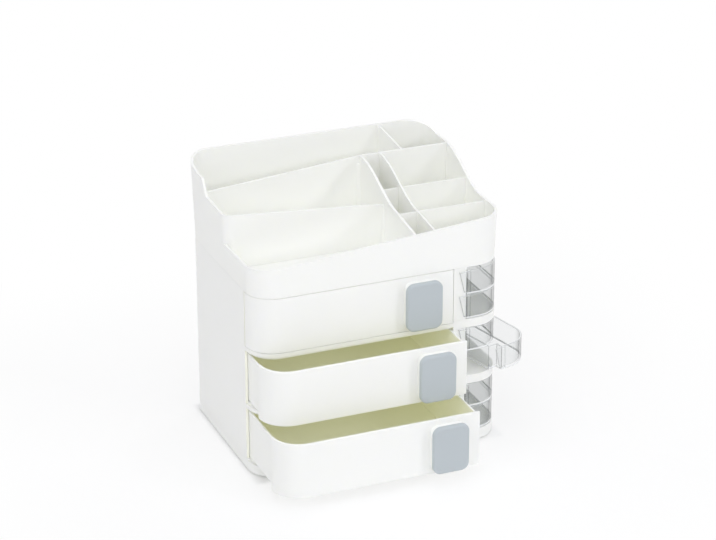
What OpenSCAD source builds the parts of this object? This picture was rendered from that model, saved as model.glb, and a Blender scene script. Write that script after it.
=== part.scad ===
// Dustproof makeup organizer: a cabinet with three sliding drawers, six clear
// trays that swivel out of its right side, and a stepped tray on top.
// Millimetres, +Z up. The origin is the centre of the footprint at the underside
// of the feet. The drawers open towards -Y, the swivel trays are on the +X side.

/* [Cabinet] */
// Width from side to side
cabinet_w = 246; // [236:1:270]
// Depth from front to back
cabinet_d = 170; // [160:1:190]
// Thickness of the casing's side and back walls
wall = 2.5; // [2:0.1:3]
// Radius in plan of the two front corners
front_corner_r = 27; // [22:1:30]
// Radius in plan of the two rear corners
rear_corner_r = 13; // [11:0.5:16]
// Height of the base plate's edge
base_h = 10.5; // [9:0.5:14]
// Height of a shelf's edge
shelf_h = 8.5; // [7.5:0.5:11]
// Thickness of the skin on top of the base plate and the shelves
skin = 3; // [2:0.1:3.5]
// Thickness of the ribs under the base plate and the shelves
rib_t = 1.6; // [1.2:0.1:2.4]
// Largest distance from rib to rib
rib_pitch = 24; // [18:1:26]
// Clear height of the lower and the middle bay
bay_h = 49.5; // [46:0.5:56]
// Extra clear height of the upper bay
upper_bay_extra = 3; // [1:0.5:8]

/* [Feet] */
// Height of a foot below the base plate
foot_h = 1.5; // [1:0.1:3]
// Radius of a foot
foot_r = 7; // [5:0.5:9]
// Distance of a foot's centre from the base plate's sides
foot_inset = 22; // [18:1:34]
// Radius of the stud that holds a foot in the base plate
foot_stud_r = 2.5; // [2:0.1:3.5]

/* [Drawers] */
// Thickness of a drawer's front panel
front_t = 3; // [2.5:0.1:4]
// Thickness of a drawer's walls and floor
drawer_wall = 2; // [1.5:0.1:2.5]
// How far the front panel rises over the shelf edge above its bay
front_over_top = 2.5; // [1.5:0.1:3]
// How far the front panel hangs over the shelf edge below its bay
front_over_bottom = 1.5; // [1:0.1:2]
// Gap between a front panel and the rebate it closes on
front_gap = 0.3; // [0.3:0.1:1]
// Gap between a drawer and the walls beside it
drawer_side_gap = 0.4; // [0.3:0.1:1]
// Gap between a closed drawer and the back wall
drawer_rear_gap = 2.5; // [1:0.5:10]
// Gap between a drawer's rim and the top of its bay
drawer_head_gap = 1.2; // [0.8:0.1:4]
// Gap between the runners and the surface they slide on
runner_gap = 0.3; // [0.3:0.1:0.6]
// Height of the two runners under a drawer
runner_h = 0.7; // [0.5:0.1:1.5]
// Width of a runner
runner_w = 5; // [3:0.5:8]
// How far the upper drawer is pulled out
upper_out = 0; // [0:1:120]
// How far the middle drawer is pulled out
middle_out = 32; // [0:1:120]
// How far the lower drawer is pulled out
lower_out = 62; // [0:1:120]

/* [Handles] */
// Width of a handle plate
handle_w = 35.5; // [28:0.5:44]
// Height of a handle plate
handle_h = 47; // [36:0.5:48]
// Thickness of a handle plate
handle_t = 4.5; // [3.5:0.1:7]
// Radius of a handle plate's corners
handle_r = 7.8; // [6:0.1:12]
// Radius of the rounding along a handle plate's front edge
handle_edge_r = 2; // [1:0.1:3]
// Distance from the handle plate to the drawer's right end
handle_inset = 14.6; // [10:0.2:60]
// Height of the handle plate above the front panel's lower edge
handle_rise = 2.2; // [1:0.1:5]
// Depth of the pedestal that carries a handle plate
pedestal_d = 5.5; // [3:0.1:9]
// How far the pedestal is set in from the handle plate's edge
pedestal_inset = 0.8; // [0.4:0.1:4]
// Radius of the two studs on the back of a handle plate
handle_stud_r = 2; // [1.5:0.1:3]
// Distance between those studs
handle_stud_pitch = 24; // [16:1:28]

/* [Swivel trays] */
// Width of the column that holds the swivel trays
column_w = 51.6; // [46:0.2:62]
// Width of the pillar at the column's front
pillar_w = 12.9; // [9:0.1:18]
// Thickness of the pillar
pillar_t = 4; // [3:0.1:5]
// Thickness of the partition between the drawers and the trays
partition_t = 2.5; // [2:0.1:3.5]
// Radius of the hinge rod
rod_r = 2.5; // [2:0.1:3.5]
// Radial running gap round the hinge rod
rod_gap = 0.08; // [0.05:0.01:0.1]
// Wall of the hinge boss round the rod
boss_t = 3.4; // [2:0.1:4]
// Radius of a tray's hinged corner about the rod
hinge_corner_r = 10.2; // [9.5:0.1:12]
// Thickness of a clear tray's walls and floor
tray_wall = 1.8; // [1.4:0.1:2.4]
// Gap between a closed tray and what is beside it
tray_gap = 0.3; // [0.3:0.1:0.8]
// Gap between a tray and the partition
tray_side_gap = 1.1; // [0.6:0.1:2.5]
// Radius of a tray's inner rear corner
tray_rear_r = 12; // [11:0.5:16]
// Thickness of a tray's finger tab
tab_t = 1.8; // [1.4:0.1:2.6]
// How far the finger tab reaches over the pillar at its top
tab_reach = 8.3; // [4:0.1:9]
// How much shorter the tab is at its foot
tab_taper = 5; // [0:0.1:6]
// Height of the tab's foot above the tray's floor
tab_rise = 3; // [0:0.5:8]
// Opening angle of the middle bay's lower tray
tray_open = 13; // [0:1:90]

/* [Top tray] */
// Outward slope of the top tray's walls, in degrees
flare = 2; // [0.5:0.1:3]
// Thickness of the top tray's outer walls
top_wall = 2.5; // [2:0.1:3]
// Thickness of the top tray's floor
top_floor = 2.5; // [2:0.1:3.5]
// Thickness of the thin dividers
divider_t = 1.8; // [1.4:0.1:2.4]
// How far the tray's foot is set in at the right side
top_side_inset = 1.5; // [0:0.1:3]
// How far the tray's foot is set in at the back
top_back_inset = 1.7; // [0:0.1:3]
// Radius in plan of the tray's front corners at its foot
top_front_r = 26; // [20:1:30]
// Radius in plan of the tray's rear corners at its foot
top_rear_r = 12; // [10:0.5:16]
// Height of the front rim at its left end
rim_low = 27.1; // [22:0.1:36]
// Height of the front rim at its right end
rim_right = 46; // [40:0.1:50]
// Height of the left rim behind the middle step
rim_step = 56.6; // [54:0.1:62]
// Height of the middle step's rim at its left corner
rim_step_left = 55.4; // [50:0.1:60]
// Height of the middle step's rim at the right
rim_step_right = 43; // [40:0.1:48]
// Height of the side rims at the rear
rim_side = 72; // [66:0.1:76]
// Height of the back rim
rim_back = 84.3; // [80:0.1:100]
// Distance of the middle step from the front
step_y = 72; // [62:1:78]
// Radius of the middle step's left corner
step_r = 9; // [7:0.5:12]
// Distance of the rear compartments' wall from the front
rear_wall_y = 129; // [122:1:134]
// Width of the block of small cells at the right
block_w = 90; // [76:1:100]
// Width of the block's narrow left cells
narrow_w = 19.5; // [16:0.5:30]
// Distance of the block's first cross wall from the front
cross_1_y = 41; // [34:1:50]
// Distance of the block's second cross wall from the front
cross_2_y = 84; // [70:1:96]
// Height of the first cross wall
cross_1_h = 45.5; // [38:0.1:46]
// Height of the second cross wall
cross_2_h = 52.5; // [46:0.1:54]
// Distance of the brush divider's front end from the right side
brush_front = 47.3; // [40:0.5:60]
// Distance of the brush divider's rear end from the right side
brush_rear = 56; // [44:0.5:70]
// Radius of the fillets in the long compartments
fillet_r = 8; // [4:0.5:12]
// Depth of the ribs under the tray that locate it in the casing
locate_h = 2; // [1:0.1:3]
// How far those ribs stop short of the casing's corners
locate_end = 24; // [18:1:30]

/* [Hidden] */

W = cabinet_w;
D = cabinet_d;
big = 400;

// Levels
base_top = foot_h + base_h;
lower_floor = base_top;
middle_floor = lower_floor + bay_h + shelf_h;
upper_floor = middle_floor + bay_h + shelf_h;
upper_bay_h = bay_h + upper_bay_extra;
casing_top = upper_floor + upper_bay_h;

// Drawer fronts
rebate = front_t + front_gap;
wrap_end = front_corner_r;
casing_front = wrap_end + 1;
front_h = front_over_bottom + bay_h + front_over_top;
column_x = W - column_w;
skirt = rebate + 2;

// Drawer box
box_x0 = wall + drawer_side_gap;
box_x1 = column_x - drawer_side_gap;
box_y0 = front_t - 0.3;
box_y1 = D - wall - drawer_rear_gap;
box_z0 = runner_gap + runner_h;
box_z1 = bay_h - drawer_head_gap;
runner_inset = 22;
box_corner_r = 5;

// Handles
handle_x1 = column_x - front_gap - handle_inset;
handle_x = handle_x1 - handle_w / 2;
handle_z = handle_rise - front_over_bottom + handle_h / 2;

// Hinge
hinge_x = W - tray_gap - hinge_corner_r;
hinge_y = D - wall - tray_gap - hinge_corner_r;
bore_r = rod_r + rod_gap;
rod_seat = 4;
back_end = hinge_x - 2.5;

// Swivel trays, two tiers in each bay
tier = (bay_h - tray_gap) / 2;
boss_h = tier - tray_gap;
tray_low = 0.2;
tray_h = boss_h - 0.3 - tray_low;
tray_x0 = column_x + partition_t + tray_side_gap;
tray_x1 = hinge_x + hinge_corner_r;
tray_y0 = tray_gap;
tray_y1 = hinge_y + hinge_corner_r;
tray_front_r = front_corner_r - tray_gap;
step_x = column_x + pillar_w + tray_gap;
step_in = pillar_t + 3.5;

// Top tray
top_x1 = W - top_side_inset;
top_y1 = D - top_back_inset;
block_x = W - block_w;
s_steps = 12;
rim_side_right = rim_side - 0.7;
locate_gap = 0.3;

// A point list that climbs from (a, za) to (b, zb) as an S
function s_curve(a, za, b, zb) =
  [for (i = [0:s_steps])
    let (t = i / s_steps)
      [a + (b - a) * t, za + (zb - za) * t * t * (3 - 2 * t)]];

// Outward lean of the top tray's walls over a height, to 0.01 mm
function outset(h) = round(h * tan(flare) * 100) / 100;

function flip(p) = [for (i = [len(p) - 1:-1:0]) p[i]];

// Moves the cabinet's corner frame to the part's own origin
module placed() {
  translate([-W / 2, -D / 2, 0])
    children();
}

// Rectangle in plan with four corner radii: front left, front right, rear right, rear left
module plan(x0, x1, y0, y1, fl, fr, rr, rl) {
  polygon([
    [x0 + fl, y0], [x1 - fr, y0], [x1, y0 + fr], [x1, y1 - rr],
    [x1 - rr, y1], [x0 + rl, y1], [x0, y1 - rl], [x0, y0 + fl]
  ]);
  intersection() {
    translate([x0, y0]) square([fl, fl]);
    translate([x0 + fl, y0 + fl]) circle(fl, $fn = 96);
  }
  intersection() {
    translate([x1 - fr, y0]) square([fr, fr]);
    translate([x1 - fr, y0 + fr]) circle(fr, $fn = 96);
  }
  intersection() {
    translate([x1 - rr, y1 - rr]) square([rr, rr]);
    translate([x1 - rr, y1 - rr]) circle(rr, $fn = 64);
  }
  intersection() {
    translate([x0, y1 - rl]) square([rl, rl]);
    translate([x0 + rl, y1 - rl]) circle(rl, $fn = 64);
  }
}

// Footprint of the cabinet, set in by d
module footprint(d = 0) {
  plan(d, W - d, d, D - d, front_corner_r - d, front_corner_r - d, rear_corner_r - d, rear_corner_r - d);
}

// Upright plate along X, from y to y + t, with outline pts in X and Z
module along_x(y, t, pts) {
  translate([0, y + t, 0])
    rotate([90, 0, 0])
      linear_extrude(t)
        polygon(pts);
}

// Upright plate along Y, from x to x + t, with outline pts in Y and Z
module along_y(x, t, pts) {
  translate([x, 0, 0])
    rotate([90, 0, 90])
      linear_extrude(t)
        polygon(pts);
}

// ---------- Casing ----------

// Side wall, rounded rear corner and back wall in plan
module casing_plan() {
  intersection() {
    difference() {
      footprint();
      footprint(wall);
    }
    translate([-1, casing_front])
      square([back_end + 1, D]);
  }
}

module casing_shell() {
  color("white")
    placed()
      translate([0, 0, base_top])
        linear_extrude(casing_top - base_top)
          casing_plan();
}

// Band along the front edge and round the left corner, where the fronts close
module rebate_band(z, h) {
  translate([0, 0, z])
    linear_extrude(h)
      intersection() {
        difference() {
          translate([-1, -1]) square([W, D]);
          footprint(rebate);
        }
        translate([-2, -2]) square([column_x + 2, casing_front + 2]);
      }
}

// Pockets between the ribs, open downwards
module pockets(z, h, solid_spots) {
  nx = ceil((W - 2 * skirt) / rib_pitch);
  ny = ceil((D - 2 * skirt) / rib_pitch);
  translate([0, 0, z])
    linear_extrude(h)
      difference() {
        footprint(skirt);
        for (i = [1:nx - 1])
          translate([skirt + i * (W - 2 * skirt) / nx - rib_t / 2, 0])
            square([rib_t, D]);
        for (j = [1:ny - 1])
          translate([0, skirt + j * (D - 2 * skirt) / ny - rib_t / 2])
            square([W, rib_t]);
        for (p = solid_spots)
          translate([p[0], p[1]])
            circle(p[2], $fn = 48);
      }
}

feet_at = [
  [foot_inset, foot_inset], [W - foot_inset, foot_inset],
  [foot_inset, D - foot_inset], [W - foot_inset, D - foot_inset]
];
rod_spot = [hinge_x, hinge_y, rod_r + boss_t];

module base_plate() {
  color("white")
    placed()
      difference() {
        translate([0, 0, foot_h])
          linear_extrude(base_h)
            footprint();
        rebate_band(base_top - front_over_bottom - front_gap, big);
        pockets(foot_h - 1, base_h - skin + 1,
          concat([for (p = feet_at) [p[0], p[1], foot_r + 0.5]], [rod_spot]));
        for (p = feet_at)
          translate([p[0], p[1], foot_h - 1])
            cylinder(h = 1 + foot_stud_h, r = foot_stud_r, $fn = 48);
        translate([hinge_x, hinge_y, base_top - rod_seat])
          cylinder(h = big, r = bore_r, $fn = 48);
      }
}

foot_stud_h = 4;

module shelf(z) {
  placed()
    translate([0, 0, z])
      difference() {
        linear_extrude(shelf_h)
          difference() {
            footprint();
            casing_plan();
          }
        rebate_band(-1, 1 + front_over_top + front_gap);
        rebate_band(shelf_h - front_over_bottom - front_gap, big);
        pockets(-1, shelf_h - skin + 1, [rod_spot]);
        translate([hinge_x, hinge_y, -1])
          cylinder(h = big, r = bore_r, $fn = 48);
      }
}

module lower_shelf() {
  color("white") shelf(middle_floor - shelf_h);
}

module upper_shelf() {
  color("white") shelf(upper_floor - shelf_h);
}

// Pillar at the front with the partition behind it
module partition(z, h) {
  placed()
    translate([0, 0, z])
      linear_extrude(h)
        union() {
          translate([column_x, 0]) square([partition_t, D - wall]);
          translate([column_x, 0]) square([pillar_w - 1, pillar_t]);
          translate([column_x, 1]) square([pillar_w, pillar_t - 2]);
          translate([column_x + pillar_w - 1, 1]) circle(1, $fn = 32);
          translate([column_x + pillar_w - 1, pillar_t - 1]) circle(1, $fn = 32);
          // Fillet between the pillar and the partition
          translate([column_x + partition_t, pillar_t])
            difference() {
              square(3);
              translate([3, 3]) circle(3, $fn = 48);
            }
        }
}

module lower_partition() {
  color("white") partition(lower_floor, bay_h);
}

module middle_partition() {
  color("white") partition(middle_floor, bay_h);
}

module upper_partition() {
  color("white") partition(upper_floor, upper_bay_h);
}

module hinge_rod() {
  color("gainsboro")
    placed()
      translate([hinge_x, hinge_y, base_top - rod_seat])
        cylinder(h = casing_top - base_top + rod_seat, r = rod_r, $fn = 48);
}

// ---------- Drawers ----------

// Front panel in plan, straight along the front and round the left corner
module front_plan() {
  intersection() {
    difference() {
      footprint();
      footprint(front_t);
    }
    translate([-1, -1])
      square([column_x - front_gap + 1, wrap_end + 1]);
  }
}

// Rounded rectangle in X and Z, centred, standing out from y = 0 towards -Y
module upright_pad(w, h, r, d) {
  rotate([90, 0, 0])
    linear_extrude(d)
      plan(-w / 2, w / 2, -h / 2, h / 2, r, r, r, r);
}

module drawer_box() {
  difference() {
    translate([0, 0, box_z0])
      linear_extrude(box_z1 - box_z0)
        plan(box_x0, box_x1, box_y0, box_y1,
          front_corner_r - box_x0, 1, box_corner_r, rear_corner_r - wall);
    translate([0, 0, box_z0 + drawer_wall])
      linear_extrude(big)
        plan(box_x0 + drawer_wall, box_x1 - drawer_wall, box_y0 + drawer_wall, box_y1 - drawer_wall,
          front_corner_r - box_x0 - drawer_wall, box_corner_r - drawer_wall,
          box_corner_r - drawer_wall, rear_corner_r - wall - drawer_wall);
  }
}

module drawer(z, out) {
  placed()
    translate([0, -out, z])
      difference() {
        union() {
          translate([0, 0, -front_over_bottom])
            linear_extrude(front_h)
              front_plan();
          drawer_box();
          // Web that ties the front's wrapped end to the side wall
          translate([front_t - 1, wrap_end - 5, box_z0])
            cube([box_x0 + drawer_wall - front_t + 0.5, 5, box_z1 - box_z0]);
          // Runners
          for (x = [box_x0 + runner_inset, box_x1 - runner_inset])
            translate([x, 0, runner_gap])
              linear_extrude(runner_h + 0.5)
                plan(-runner_w / 2, runner_w / 2, box_y0 + 8, box_y1 - 4,
                  runner_w / 2 - 0.01, runner_w / 2 - 0.01, runner_w / 2 - 0.01, runner_w / 2 - 0.01);
          // Pedestal that carries the handle plate
          translate([handle_x, 1, handle_z])
            upright_pad(handle_w - 2 * pedestal_inset, handle_h - 2 * pedestal_inset,
              handle_r - pedestal_inset, pedestal_d + 1);
        }
        for (s = [-1, 1])
          translate([handle_x, -pedestal_d + handle_stud_l + 0.3, handle_z + s * handle_stud_pitch / 2])
            rotate([90, 0, 0])
              cylinder(h = handle_stud_l + 1.3, r = handle_stud_r + 0.05, $fn = 48);
      }
}

handle_stud_l = 4;

module upper_drawer() {
  color("white") drawer(upper_floor, upper_out);
}

module middle_drawer() {
  color("white") drawer(middle_floor, middle_out);
}

module lower_drawer() {
  color("white") drawer(lower_floor, lower_out);
}

// Edge profile of a handle plate, from its corner centre outwards
module edge_profile() {
  square([handle_r - handle_edge_r, handle_t]);
  square([handle_r, handle_t - handle_edge_r]);
  translate([handle_r - handle_edge_r, handle_t - handle_edge_r])
    circle(handle_edge_r, $fn = 48);
}

// The part of the profile outside the corner centre
module outer_profile() {
  intersection() {
    edge_profile();
    square([handle_r, handle_t]);
  }
}

// Rounded plate with a soft front edge, thickness along +Z from z = 0
module soft_plate() {
  cx = handle_w / 2 - handle_r;
  cy = handle_h / 2 - handle_r;
  translate([-cx, -cy, 0]) cube([2 * cx, 2 * cy, handle_t]);
  for (sx = [-1, 1])
    for (sy = [-1, 1])
      translate([sx * cx, sy * cy, 0])
        rotate_extrude($fn = 96)
          outer_profile();
  for (m = [0, 1])
    mirror([m, 0, 0])
      translate([cx, cy, 0])
        rotate([90, 0, 0])
          linear_extrude(2 * cy)
            outer_profile();
  for (m = [0, 1])
    mirror([0, m, 0])
      translate([-cx, cy, 0])
        rotate([90, 0, 90])
          linear_extrude(2 * cx)
            outer_profile();
}

module drawer_handle(z, out) {
  placed()
    translate([handle_x, -out - pedestal_d, z + handle_z])
      rotate([90, 0, 0]) {
        soft_plate();
        for (s = [-1, 1])
          translate([0, s * handle_stud_pitch / 2, -handle_stud_l])
            cylinder(h = handle_stud_l + 0.5, r = handle_stud_r, $fn = 48);
      }
}

module upper_drawer_handle() {
  color("silver") drawer_handle(upper_floor, upper_out);
}

module middle_drawer_handle() {
  color("silver") drawer_handle(middle_floor, middle_out);
}

module lower_drawer_handle() {
  color("silver") drawer_handle(lower_floor, lower_out);
}

// ---------- Swivel trays ----------

// Outline of a tray set in by d, with the step that clears the pillar
module tray_plan(d) {
  difference() {
    plan(tray_x0 + d, tray_x1 - d, tray_y0 + d, tray_y1 - d,
      1, tray_front_r - d, hinge_corner_r - d, tray_rear_r - d);
    translate([tray_x0 - 1, -1])
      square([step_x - tray_x0 + 1 + d, step_in + 1 + d]);
  }
}

module swivel_tray(z, angle) {
  placed()
    translate([hinge_x, hinge_y, z])
      rotate([0, 0, angle])
        translate([-hinge_x, -hinge_y, 0])
          difference() {
            union() {
              difference() {
                translate([0, 0, tray_low])
                  linear_extrude(tray_h)
                    tray_plan(0);
                translate([0, 0, tray_low + tray_wall])
                  linear_extrude(big)
                    tray_plan(tray_wall);
              }
              translate([hinge_x, hinge_y, 0])
                cylinder(h = boss_h, r = bore_r + boss_t, $fn = 64);
              finger_tab();
            }
            translate([hinge_x, hinge_y, -1])
              cylinder(h = big, r = bore_r, $fn = 48);
          }
}

// Tab in front of the pillar, wider at its top, with the neck that joins it to the tray
module finger_tab() {
  top = tray_low + tray_h;
  foot = tray_low + tab_rise;
  y1 = -0.5;
  along_x(y1 - tab_t, tab_t, [
    [step_x + 3.2, foot], [step_x + 3.2, top],
    [step_x - tab_reach, top], [step_x - tab_reach + tab_taper, foot]
  ]);
  translate([step_x + 0.2, y1 - tab_t, foot])
    cube([3, tray_y0 + tray_wall - y1 + tab_t - 0.4, top - foot]);
}

tray_low_z = tray_gap;
tray_high_z = tray_gap + tier;

module upper_bay_high_tray() {
  color([0.85, 0.9, 0.92, 0.4]) swivel_tray(upper_floor + tray_high_z, 0);
}

module upper_bay_low_tray() {
  color([0.85, 0.9, 0.92, 0.4]) swivel_tray(upper_floor + tray_low_z, 0);
}

module middle_bay_high_tray() {
  color([0.85, 0.9, 0.92, 0.4]) swivel_tray(middle_floor + tray_high_z, 0);
}

module middle_bay_low_tray() {
  color([0.85, 0.9, 0.92, 0.4]) swivel_tray(middle_floor + tray_low_z, tray_open);
}

module lower_bay_high_tray() {
  color([0.85, 0.9, 0.92, 0.4]) swivel_tray(lower_floor + tray_high_z, 0);
}

module lower_bay_low_tray() {
  color([0.85, 0.9, 0.92, 0.4]) swivel_tray(lower_floor + tray_low_z, 0);
}

// ---------- Top tray ----------

// Block with rounded corners whose four sides lean outwards by the flare.
// The corners are cones on fixed axes; three straight extrusions fill between them.
module flared(x0, x1, y0, y1, rf, rr, h) {
  g = outset(h);
  ym = (y0 + y1) / 2;
  for (c = [
    [x0 + rf, y0 + rf, rf], [x1 - rf, y0 + rf, rf],
    [x0 + rr, y1 - rr, rr], [x1 - rr, y1 - rr, rr]
  ])
    translate([c[0], c[1], 0])
      cylinder(h = h, r1 = c[2], r2 = c[2] + g, $fn = 96);
  along_x(y0 + rf, y1 - rr - y0 - rf, [[x0, 0], [x1, 0], [x1 + g, h], [x0 - g, h]]);
  along_y(x0 + rf, x1 - x0 - 2 * rf, [[y0, 0], [ym, 0], [ym, h], [y0 - g, h]]);
  along_y(x0 + rr, x1 - x0 - 2 * rr, [[ym, 0], [y1, 0], [y1 + g, h], [ym, h]]);
}

// The tray's body from height z up, set in by d, with its front moved back for the step
module tray_body(d, z, h, front = 0, front_r = top_front_r) {
  g = outset(z);
  translate([0, 0, z])
    flared(d - g, top_x1 - d + g, front + d - g, top_y1 - d + g,
      front_r - d + g, top_rear_r - d + g, h - z);
}

// What lies below the rims of the outer walls
module under_rims() {
  zone = step_y - 22;
  ramp_0 = 5;
  ramp_1 = W - 24;
  right_0 = 52;
  right_1 = rear_wall_y + 4;
  drop_0 = rear_wall_y - 10;
  drop_1 = rear_wall_y + 2;
  // Front wall and the front corners
  along_x(-20, zone + 20, [
    [-20, -1], [W + 20, -1], [W + 20, rim_right], [ramp_1, rim_right],
    [ramp_0, rim_low], [-20, rim_low]
  ]);
  // Left wall
  along_y(-20, W / 2 + 20, concat(
    [[zone, -1], [D + 20, -1], [D + 20, rim_side]],
    flip(s_curve(drop_0, rim_step, drop_1, rim_side)),
    [[step_y + step_r, rim_step_left], [step_y + step_r, rim_low], [zone, rim_low]]
  ));
  // Right wall
  along_y(W / 2, W / 2 + 20, concat(
    [[zone, -1], [D + 20, -1], [D + 20, rim_side_right]],
    flip(s_curve(right_0, rim_right, right_1, rim_side_right)),
    [[zone, rim_right]]
  ));
  // Back wall
  along_x(top_y1 - top_rear_r, top_rear_r + 20, [
    [27, -1], [top_x1 - 37, -1], [top_x1 - 37, rim_back], [27, rim_back]
  ]);
  // Rims that climb round the rear corners to the back wall
  rotate([0, 0, -45])
    corner_rise(-(D + 30) / sqrt(2), drop_1, rim_side - 1, top_y1 + 22);
  translate([top_x1, 0, 0])
    rotate([0, 0, 45])
      corner_rise((D - 45) / sqrt(2), D - 25, rim_side_right - 1, top_y1 + 31);
}

// Slab across a rear corner, from x on, whose top climbs to the back rim.
// The distances a and b are measured along the side wall and on round the corner.
module corner_rise(x, a, z, b) {
  r = sqrt(2);
  along_y(x, 75 / r, concat(
    [[a / r, -1], [(D + 80) / r, -1], [(D + 80) / r, rim_back]],
    flip(s_curve(a / r, z, b / r, rim_back))
  ));
}

// Front wall of the middle step with its rounded left corner
module middle_step() {
  z0 = top_floor / 2;
  intersection() {
    difference() {
      tray_body(0, 0, rim_back, step_y, step_r);
      tray_body(top_wall, top_floor, rim_back + 10, step_y, step_r);
    }
    along_x(step_y - 10, 10 + step_r, [
      [-20, z0], [block_x, z0], [block_x, rim_step_right],
      [block_x - 10, rim_step_right + 1.5], [step_r, rim_step_left], [-20, rim_step_left]
    ]);
  }
}

// Concave fillet between two upright walls, with its corner at the origin
module corner_fillet(h) {
  linear_extrude(h)
    difference() {
      translate([-fillet_r, -fillet_r]) square(fillet_r + 0.5);
      translate([-fillet_r, -fillet_r]) circle(fillet_r, $fn = 64);
    }
}

module dividers() {
  z0 = top_floor / 2;
  s_0 = cross_1_y;
  s_1 = rear_wall_y - 3;
  // Wall in front of the rear compartments
  along_x(rear_wall_y, top_wall, [
    [-20, z0], [W + 20, z0], [W + 20, rim_side - 1], [block_x, rim_side - 1],
    [0, rim_step + 0.7], [-20, rim_step + 0.7]
  ]);
  // Left wall of the block of cells
  along_y(block_x - top_wall / 2, top_wall, concat(
    [[-20, z0], [rear_wall_y + top_wall / 2, z0], [rear_wall_y + top_wall / 2, rim_side - 1.2]],
    flip(s_curve(s_0, cross_1_h, s_1, rim_side - 1.2)),
    [[0, cross_1_h - 6], [-20, cross_1_h - 6]]
  ));
  // Divider between the narrow and the wide cells
  along_y(block_x + narrow_w - divider_t / 2, divider_t, concat(
    [[-20, z0], [rear_wall_y + top_wall / 2, z0], [rear_wall_y + top_wall / 2, rim_side - 1.6]],
    flip(s_curve(s_0, cross_1_h - 0.4, s_1, rim_side - 1.6)),
    [[0, cross_1_h - 5], [-20, cross_1_h - 5]]
  ));
  // Cross walls of the cells
  along_x(cross_1_y - divider_t / 2, divider_t, [
    [block_x, z0], [W + 20, z0], [W + 20, cross_1_h - 0.8], [block_x, cross_1_h - 0.8]
  ]);
  along_x(cross_2_y - divider_t / 2, divider_t, [
    [block_x, z0], [W + 20, z0], [W + 20, cross_2_h], [block_x, cross_2_h]
  ]);
  // Slanted divider between the two brush compartments
  run = norm([brush_rear - brush_front, D - rear_wall_y]);
  translate([W - brush_front, rear_wall_y + top_wall / 2, 0])
    rotate([0, 0, 90 + atan2(brush_rear - brush_front, D - rear_wall_y)])
      along_x(-divider_t / 2, divider_t, [
        [0, z0], [run + 10, z0], [run + 10, rim_back - 0.6], [run - 2, rim_back - 0.6],
        [0, rim_side - 1.4]
      ]);
  // Fillets in the corners of the long compartments
  translate([block_x, step_y + 0.5, z0])
    corner_fillet(rim_step_right - z0 - 0.6);
  translate([block_x, rear_wall_y + 0.6, z0])
    corner_fillet(rim_side - 8 - z0);
}

module top_tray() {
  color("white")
    placed()
      translate([0, 0, casing_top]) {
        difference() {
          intersection() {
            tray_body(0, 0, rim_back);
            under_rims();
          }
          tray_body(top_wall, top_floor, rim_back + 10);
        }
        middle_step();
        intersection() {
          tray_body(top_wall / 2, 0, rim_back);
          dividers();
        }
        // Ribs that locate the tray behind the casing's walls
        translate([wall + locate_gap, casing_front + locate_end, -locate_h])
          cube([rib_t, D - wall - casing_front - 2 * locate_end, locate_h + 0.5]);
        translate([wall + locate_end, D - wall - locate_gap - rib_t, -locate_h])
          cube([column_x - wall - 2 * locate_end, rib_t, locate_h + 0.5]);
      }
}

// ---------- Feet ----------

module foot(p) {
  placed()
    translate([p[0], p[1], 0]) {
      cylinder(h = 0.5, r1 = foot_r - 0.5, r2 = foot_r, $fn = 64);
      translate([0, 0, 0.5])
        cylinder(h = foot_h - 0.5, r = foot_r, $fn = 64);
      translate([0, 0, foot_h - 0.2])
        cylinder(h = foot_stud_h - 0.1, r = foot_stud_r, $fn = 48);
    }
}

module foot_front_left() {
  color("whitesmoke") foot(feet_at[0]);
}

module foot_front_right() {
  color("whitesmoke") foot(feet_at[1]);
}

module foot_rear_left() {
  color("whitesmoke") foot(feet_at[2]);
}

module foot_rear_right() {
  color("whitesmoke") foot(feet_at[3]);
}

base_plate();
casing_shell();
lower_shelf();
upper_shelf();
lower_partition();
middle_partition();
upper_partition();
top_tray();
hinge_rod();
upper_drawer();
middle_drawer();
lower_drawer();
upper_drawer_handle();
middle_drawer_handle();
lower_drawer_handle();
upper_bay_high_tray();
upper_bay_low_tray();
middle_bay_high_tray();
middle_bay_low_tray();
lower_bay_high_tray();
lower_bay_low_tray();
foot_front_left();
foot_front_right();
foot_rear_left();
foot_rear_right();
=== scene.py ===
"""Makeup organizer: a white moulded cabinet with drawers, clear swivel trays and a stepped top tray."""
from math import radians

import bmesh
import bpy
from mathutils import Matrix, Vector


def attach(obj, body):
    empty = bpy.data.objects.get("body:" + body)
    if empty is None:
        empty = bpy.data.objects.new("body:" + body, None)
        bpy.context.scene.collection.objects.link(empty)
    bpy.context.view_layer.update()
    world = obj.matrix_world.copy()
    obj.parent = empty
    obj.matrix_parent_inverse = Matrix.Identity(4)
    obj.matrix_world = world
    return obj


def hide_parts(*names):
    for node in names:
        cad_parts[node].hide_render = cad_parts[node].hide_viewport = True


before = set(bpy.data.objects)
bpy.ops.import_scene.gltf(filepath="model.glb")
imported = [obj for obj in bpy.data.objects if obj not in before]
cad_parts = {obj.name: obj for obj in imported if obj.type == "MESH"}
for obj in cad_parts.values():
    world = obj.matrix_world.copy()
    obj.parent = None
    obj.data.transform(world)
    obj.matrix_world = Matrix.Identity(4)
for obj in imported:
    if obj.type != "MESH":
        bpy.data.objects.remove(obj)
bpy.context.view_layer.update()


# ---------------------------------------------------------------- the camera
# The organizer is seen from the front left and from above, with a long lens.

def aimed_camera(place, yaw, pitch, lens):
    """A level camera at a place, turned right of +Y by yaw and down by pitch, both in degrees."""
    data = bpy.data.cameras.new("camera")
    data.lens, data.sensor_width = lens, 36
    data.clip_start, data.clip_end = 0.05, 50
    camera = bpy.data.objects.new("camera", data)
    camera.location = place
    camera.rotation_euler = (radians(90 - pitch), 0, radians(-yaw))
    bpy.context.scene.collection.objects.link(camera)
    bpy.context.scene.camera = camera


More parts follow.
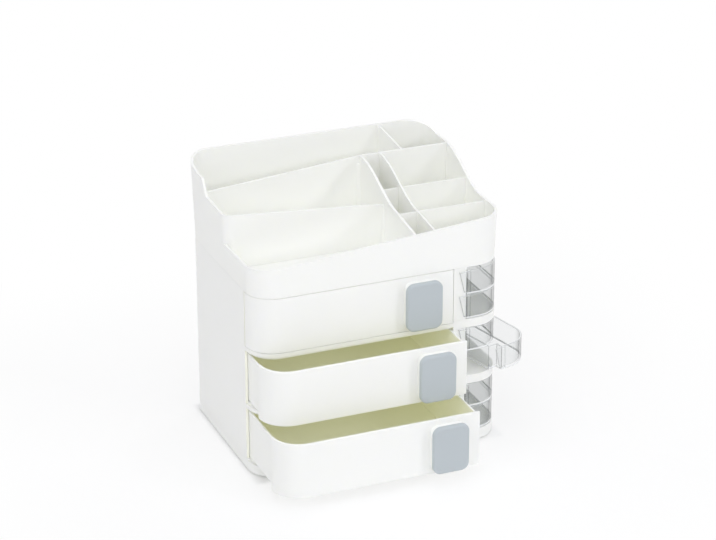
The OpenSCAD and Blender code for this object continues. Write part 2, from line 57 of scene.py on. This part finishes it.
aimed_camera(place=(-0.8133, -1.9828, 1.0938), yaw=22.59, pitch=23.6, lens=125.7)


# ---------------------------------------------------------------- casing, shelves and partitions
# White polypropylene mouldings with a satin face from the mould. The shell stands on the base
# plate, the shelves lie within it, and the partitions stand between them with the front pillars.

# Two corners of a mesh closer than this are one
WELD = 2e-6
# Facets that meet at less than FLAT_ANGLE are one face, and edges sharper than CREASE_ANGLE stay sharp
FLAT_ANGLE = radians(0.4)
CREASE_ANGLE = radians(28)
# Edges sharper than this take a moulding's radius
ROUNDED_ANGLE = radians(35)
# Colour of the painted glow on inner faces, in place of daylight that has come through a white wall
PAINTED_GLOW_COLOUR = (1.0, 0.99, 0.4, 1)


class Socket:
    """A shader socket. Sums and products of sockets and numbers add Math nodes; node() adds any other."""

    def __init__(self, tree, socket=None):
        self.tree, self.socket = tree, socket

    def node(self, kind, settings=(), output=0, **sockets):
        """Adds a node of a kind, sets its settings, then fills its sockets, and returns one output.
        A socket is given by its name, or as i and its number."""
        made = self.tree.nodes.new(kind)
        for key, value in dict(settings).items():
            setattr(made, key, value)
        for key, value in sockets.items():
            numbered = key[0] == "i" and key[1:].isdigit()
            entry = made.inputs[int(key[1:]) if numbered else key.replace("_", " ")]
            if isinstance(value, Socket):
                self.tree.links.new(value.socket, entry)
            else:
                entry.default_value = value
        return Socket(self.tree, made.outputs[output])

    def maths(self, operation, first, second):
        return self.node("ShaderNodeMath", {"operation": operation}, i0=first, i1=second)

    def __add__(self, other):
        return self.maths("ADD", self, other)

    def __radd__(self, other):
        return self.maths("ADD", other, self)

    def __sub__(self, other):
        return self.maths("SUBTRACT", self, other)

    def __rsub__(self, other):
        return self.maths("SUBTRACT", other, self)

    def __mul__(self, other):
        return self.maths("MULTIPLY", self, other)

    def __rmul__(self, other):
        return self.maths("MULTIPLY", other, self)


def new_finish(name):
    """An empty material, its Principled shader and a Socket to build nodes from."""
    material = bpy.data.materials.new(name)
    material.use_nodes = True
    return material, material.node_tree.nodes["Principled BSDF"], Socket(material.node_tree)


def link(finish, shader, **sockets):
    """Links sockets to the shader's inputs."""
    for key, value in sockets.items():
        finish.tree.links.new(value.socket, shader.inputs[key.replace("_", " ")])


def noise(make, place, scale, detail):
    """Noise between 0 and 1 at a place in metres, with a scale in waves per metre."""
    return make.node("ShaderNodeTexNoise", {"noise_dimensions": "3D"},
                     Vector=place, Scale=scale, Detail=detail)


def blend(make, share, first, second):
    """A colour that goes from the first to the second by a share."""
    return make.node("ShaderNodeMix", {"data_type": "RGBA"}, output=2,
                     i0=share, i6=(*first, 1), i7=(*second, 1))


def moulded_plastic(name, light, dark, rough, grain=0.00004, edge=0.0006, milky=0.0, painted_glow=0.0):
    """Plastic with a slow drift of tone and gloss, the fine even grain of a sparked mould, and softened
    edges. A milky one lets some light into its walls. One with a painted glow glows a little: a painted
    glow in place of the light that comes through its walls."""
    material, shader, make = new_finish(name)
    place = make.node("ShaderNodeTexCoord", output="Object")
    drift = noise(make, place, scale=14.0, detail=3.0)
    spark = noise(make, place, scale=1900.0, detail=2.0)
    gloss = rough + 0.1 * (drift - 0.5) + 0.08 * (spark - 0.5)
    rounded = make.node("ShaderNodeBevel", {"samples": 6}, Radius=edge)
    skin = make.node("ShaderNodeBump", Height=spark + 2.0 * drift, Strength=0.35,
                     Distance=grain, Normal=rounded)
    link(make, shader, Base_Color=blend(make, drift, dark, light), Roughness=gloss, Normal=skin)
    shader.inputs["IOR"].default_value = 1.5
    shader.inputs["Subsurface Weight"].default_value = milky
    shader.inputs["Subsurface Radius"].default_value = (1.0, 1.0, 0.85)
    shader.inputs["Subsurface Scale"].default_value = 0.002
    shader.inputs["Emission Color"].default_value = PAINTED_GLOW_COLOUR
    shader.inputs["Emission Strength"].default_value = painted_glow
    return material


def moulding(node, body, finish, edge=0.0, inside=None):
    """A welded copy of a CAD node. Its curved walls are smooth and its flat ones stay flat, and its
    edges may get a radius. Faces in the box inside, given by two corners, that look to its middle take
    the second material."""
    shape = bmesh.new()
    shape.from_mesh(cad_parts[node].data)
    bmesh.ops.remove_doubles(shape, verts=shape.verts, dist=WELD)
    bmesh.ops.dissolve_limit(shape, angle_limit=FLAT_ANGLE, verts=shape.verts, edges=shape.edges)
    for face in shape.faces:
        face.smooth = True
        middle = face.calc_center_median()
        if inside and all(low < at < high for low, at, high in zip(inside[0], middle, inside[1])):
            inwards = Vector(inside[0]) + Vector(inside[1]) - 2 * middle
            face.material_index = int(inwards.dot(face.normal) > 0)
    for side in shape.edges:
        side.smooth = side.calc_face_angle(0.0) < CREASE_ANGLE
    mesh = bpy.data.meshes.new(node + "_moulding")
    shape.to_mesh(mesh)
    shape.free()
    for coat in finish:
        mesh.materials.append(coat)
    piece = bpy.data.objects.new(node + "_moulding", mesh)
    bpy.context.scene.collection.objects.link(piece)
    if edge:
        rounding = piece.modifiers.new("rounding", "BEVEL")
        rounding.width, rounding.segments = edge, 2
        rounding.limit_method, rounding.angle_limit = "ANGLE", ROUNDED_ANGLE
        rounding.harden_normals = True
        rounding.miter_outer = "MITER_ARC"
        rounding.use_clamp_overlap = False
        rounding.material = -1 if inside else len(finish) - 1
    else:
        piece.modifiers.new("flat walls", "WEIGHTED_NORMAL").keep_sharp = True
    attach(piece, body)
    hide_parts(node)


white = moulded_plastic("white_plastic", light=(0.957, 0.96, 0.93), dark=(0.943, 0.947, 0.912),
                        rough=0.36, milky=0.25)
# The insides' white is yellower, a painted shade tint for their shaded hollows, and carries a painted glow
# in place of light through the walls
painted_shade_and_glow_white = moulded_plastic("painted_shade_and_glow_white", light=(0.957, 0.957, 0.885), dark=(0.943, 0.944, 0.865),
                              rough=0.4, painted_glow=0.05)
# The front end of the left wall, beside the drawers, takes the insides' material: painted shade and a
# painted glow, for the shade it lies in there
painted_shade_wall_end = ((-0.125, -0.095, 0.01), (-0.112, -0.05, 0.182))
moulding("casing_shell", "casing", [white, painted_shade_and_glow_white], inside=painted_shade_wall_end)
for node in ("lower_shelf", "upper_shelf", "base_plate",
             "lower_partition", "middle_partition", "upper_partition"):
    moulding(node, "casing", [white])


# ---------------------------------------------------------------- top tray
# One deep white moulding that stands on the casing. Its walls lean out so that it leaves the
# mould, and every rim is rounded because fingers reach over it.

moulding("top_tray", "casing", [white])


# ---------------------------------------------------------------- drawers
# White moulded boxes. The front wraps round the left corner, and it carries the pedestal
# that the handle plate sits on.

# Each drawer's inside, from its bay's floor up and when it is closed. Faces in it that look inwards take
# the painted shade and glow material
inside_left, inside_right = -0.1125, 0.0698
inside_front, inside_rear = -0.0823, 0.0788
inside_low, inside_high = 0.0005, 0.049
for level, floor, out in (("upper", 0.128, 0.0), ("middle", 0.07, 0.032), ("lower", 0.012, 0.062)):
    space = ((inside_left, inside_front - out, floor + inside_low),
             (inside_right, inside_rear - out, floor + inside_high))
    moulding(level + "_drawer", level + "_drawer", [white, painted_shade_and_glow_white],
             edge=0.0005, inside=space)


# ---------------------------------------------------------------- handle plates
# Grey matt plates with a soft front edge. Two studs on the back hold each one on its pedestal.

grey = moulded_plastic("grey_plastic", light=(0.5, 0.547, 0.572), dark=(0.482, 0.528, 0.552), rough=0.5)
for level in ("upper", "middle", "lower"):
    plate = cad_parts[level + "_drawer_handle"]
    plate.data.materials.clear()
    plate.data.materials.append(grey)


# ---------------------------------------------------------------- swivel trays
# Clear polystyrene trays with polished faces and a finger tab. Their rims and the floor's edge are painted
# white, a painted highlight in place of the light that runs inside the walls, and their walls are painted
# grey, painted shade, where they are seen edge-on. Their bosses turn on the rod.

# Colour of the painted highlight at a rim, in place of the light that comes out there
PAINTED_RIM_LIGHT = (0.93, 0.95, 0.95)
# Share of the light that the plastic covers with painted shade where it is seen along its wall
PAINTED_SHADE_COVER = 0.9


def clear_plastic(name, haze, painted_shade, glow, foot=0.0125, tier=0.0246, bay=0.058, floor=0.0018, rim=0.0232):
    """Clear plastic with a thin haze, painted shade where it is seen along its wall and a painted
    highlight at its rims.

    The height above a tray's underside is the height above the lowest tray's foot, taken modulo the
    bays' pitch and then modulo the tiers' pitch. Up to floor on upright faces, and from rim up, the
    surface is painted pale, a painted highlight in place of light that runs inside the walls."""
    material, shader, make = new_finish(name)
    coords = make.node("ShaderNodeTexCoord", output="Object")
    level = make.node("ShaderNodeSeparateXYZ", output=2, Vector=coords) - foot
    height = level.maths("MODULO", level, bay)
    height = height.maths("MODULO", height, tier)
    normal = make.node("ShaderNodeTexCoord", output="Normal")
    rise = make.node("ShaderNodeSeparateXYZ", output=2, Vector=normal)
    upright = 1.0 - rise.maths("ABSOLUTE", rise, 0.0)
    # Painted highlight: by glow, the rims and the floor's edge are painted pale
    painted_rim_share = make.node("ShaderNodeClamp", i0=glow * (height.maths("LESS_THAN", height, floor) * upright
                                                    + height.maths("GREATER_THAN", height, rim)))
    flow = noise(make, coords, scale=60.0, detail=1.0)
    waves = make.node("ShaderNodeBump", Height=flow, Strength=0.25, Distance=0.0003)
    # Painted shade: the wall turns grey as it is seen more edge-on
    along = make.node("ShaderNodeLayerWeight", output="Facing", Blend=0.5, Normal=waves)
    steep = along * along * along
    painted_shade_share = steep * (steep + (along - steep) * upright)
    link(make, shader, Base_Color=blend(make, painted_rim_share, painted_shade, PAINTED_RIM_LIGHT), Normal=waves,
         Roughness=0.03 + 0.05 * flow)
    shader.inputs["IOR"].default_value = 1.59
    through = make.node("ShaderNodeBsdfTransparent", Color=(0.99, 0.993, 0.993, 1))
    cover = make.node("ShaderNodeClamp", i0=haze + (PAINTED_SHADE_COVER - haze) * painted_shade_share + 0.8 * painted_rim_share)
    mixed = make.node("ShaderNodeMixShader", i0=cover, i1=through, i2=Socket(make.tree, shader.outputs[0]))
    make.tree.links.new(mixed.socket, make.tree.nodes["Material Output"].inputs["Surface"])
    return material


# Tray faces with painted pale rims and painted shade where seen edge-on; their rounded edges take a hazier
# painted shade
clear = clear_plastic("clear_plastic", haze=0.01, painted_shade=(0.06, 0.063, 0.066), glow=1.0)
clear_painted_edge_shade = clear_plastic("clear_painted_edge_shade", haze=0.4, painted_shade=(0.2, 0.208, 0.212), glow=0.0)
for bay in ("upper", "middle", "lower"):
    for tier in ("high", "low"):
        name = f"{bay}_bay_{tier}_tray"
        moulding(name, name, [clear, clear_painted_edge_shade], edge=0.0003)


# ---------------------------------------------------------------- hinge rod
# A drawn steel rod that stands in the base plate and passes through both shelves.

def drawn_steel(name):
    """Steel with fine rings round its axis, from drawing and polishing."""
    material, shader, make = new_finish(name)
    place = make.node("ShaderNodeTexCoord", output="Object")
    rings = make.node("ShaderNodeMapping", Vector=place, Scale=(1.0, 1.0, 60.0))
    grain = noise(make, rings, scale=60.0, detail=3.0)
    link(make, shader, Roughness=0.2 + 0.18 * grain,
         Normal=make.node("ShaderNodeBump", Height=grain, Strength=0.3, Distance=0.00002))
    shader.inputs["Base Color"].default_value = (0.62, 0.62, 0.63, 1)
    shader.inputs["Metallic"].default_value = 1.0
    return material


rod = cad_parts["hinge_rod"]
rod.data.materials.clear()
rod.data.materials.append(drawn_steel("drawn_steel"))


# ---------------------------------------------------------------- feet
# Soft pale rubber discs with a stud on top, pressed into the base plate.

rubber = moulded_plastic("pale_rubber", light=(0.6, 0.6, 0.59), dark=(0.52, 0.52, 0.51),
                         rough=0.8, grain=0.0001)
for corner in ("front_left", "front_right", "rear_left", "rear_right"):
    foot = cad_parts["foot_" + corner]
    foot.data.materials.clear()
    foot.data.materials.append(rubber)


# ---------------------------------------------------------------- floor and light
# A pale studio floor and five soft lamps: a key from the front right, a broad one from the
# front, a fill from the left, one from the rear right and one above that reaches into the drawers.

def rays_that_see(make):
    """1 for rays from the camera, and for those that a surface mirrors or lets through; 0 for the rest."""
    seen = [make.node("ShaderNodeLightPath", output=name)
            for name in ("Is Camera Ray", "Is Glossy Ray", "Is Transmission Ray")]
    return make.node("ShaderNodeClamp", i0=seen[0] + seen[1] + seen[2])


def studio_floor(size, half_width, half_depth, under, contact, veil, far):
    """A flat floor under a white veil that only sight meets. By the distance to the cabinet's footprint,
    the veil grows from nothing a little way under it to a share at the contact distance, and to full far
    away, so that the floor keeps the object's shadow."""
    mesh = bpy.data.meshes.new("studio_floor")
    half = size / 2
    corners = [(-half, -half, 0), (half, -half, 0), (half, half, 0), (-half, half, 0)]
    mesh.from_pydata(corners, [], [(0, 1, 2, 3)])
    floor = bpy.data.objects.new("studio_floor", mesh)
    bpy.context.scene.collection.objects.link(floor)
    material, shader, make = new_finish("studio_floor")
    shader.inputs["Base Color"].default_value = (1, 1, 1, 1)
    shader.inputs["Roughness"].default_value = 0.9
    shader.inputs["Specular IOR Level"].default_value = 0.0
    place = make.node("ShaderNodeTexCoord", output="Object")
    across, along = (make.node("ShaderNodeSeparateXYZ", output=k, Vector=place) for k in (0, 1))
    beside = across.maths("ABSOLUTE", across, 0.0) - half_width
    before = along.maths("ABSOLUTE", along, 0.0) - half_depth
    apart = make.maths("MAXIMUM", beside, before)
    smooth = {"interpolation_type": "SMOOTHSTEP"}
    line = make.node("ShaderNodeMapRange", smooth, i0=apart, i1=-under, i2=contact, i3=0.0, i4=1.0)
    spread = make.node("ShaderNodeMapRange", smooth, i0=apart, i1=0.0, i2=far, i3=veil, i4=1.0)
    glow = make.node("ShaderNodeEmission", Color=(1, 1, 1, 1), Strength=1.0)
    mixed = make.node("ShaderNodeMixShader", i0=line * spread * rays_that_see(make),
                      i1=Socket(make.tree, shader.outputs[0]), i2=glow)
    make.tree.links.new(mixed.socket, make.tree.nodes["Material Output"].inputs["Surface"])
    mesh.materials.append(material)


def soft_lamp(name, place, target, size, power):
    """A square daylight lamp of a size in metres and a power in watts that faces a target."""
    data = bpy.data.lights.new(name, "AREA")
    data.shape, data.size, data.energy = "SQUARE", size, power
    data.color = (0.95, 0.957, 1.0)
    lamp = bpy.data.objects.new(name, data)
    lamp.location = place
    lamp.rotation_euler = (Vector(target) - Vector(place)).to_track_quat("-Z", "Y").to_euler()
    bpy.context.scene.collection.objects.link(lamp)


def studio_world(level):
    """An even white surround that lights the object at a level and shows white behind it."""
    world = bpy.data.worlds.new("studio")
    bpy.context.scene.world = world
    world.use_nodes = True
    make = Socket(world.node_tree)
    back = world.node_tree.nodes["Background"]
    back.inputs["Color"].default_value = (1, 1, 1, 1)
    world.node_tree.links.new((level + (1 - level) * rays_that_see(make)).socket, back.inputs["Strength"])


studio_floor(size=12.0, half_width=0.123, half_depth=0.085, under=0.002, contact=0.006,
             veil=0.68, far=0.35)
middle_height = (0, 0, 0.13)
soft_lamp("key", (1.5, -1.8, 1.0), middle_height, size=0.5, power=8.5)
soft_lamp("front", (-0.2, -2.25, 1.25), middle_height, size=1.0, power=8.8)
soft_lamp("fill", (-1.8, -0.8, 1.2), middle_height, size=1.4, power=9)
soft_lamp("side", (1.9, 1.3, 1.0), middle_height, size=1.2, power=9)
soft_lamp("top", (0.0, -0.2, 2.2), middle_height, size=1.6, power=14)
studio_world(level=0.46)
bpy.context.scene.cycles.diffuse_bounces = 12
bpy.context.scene.cycles.transparent_max_bounces = 24
bpy.context.scene.view_settings.view_transform = "Standard"
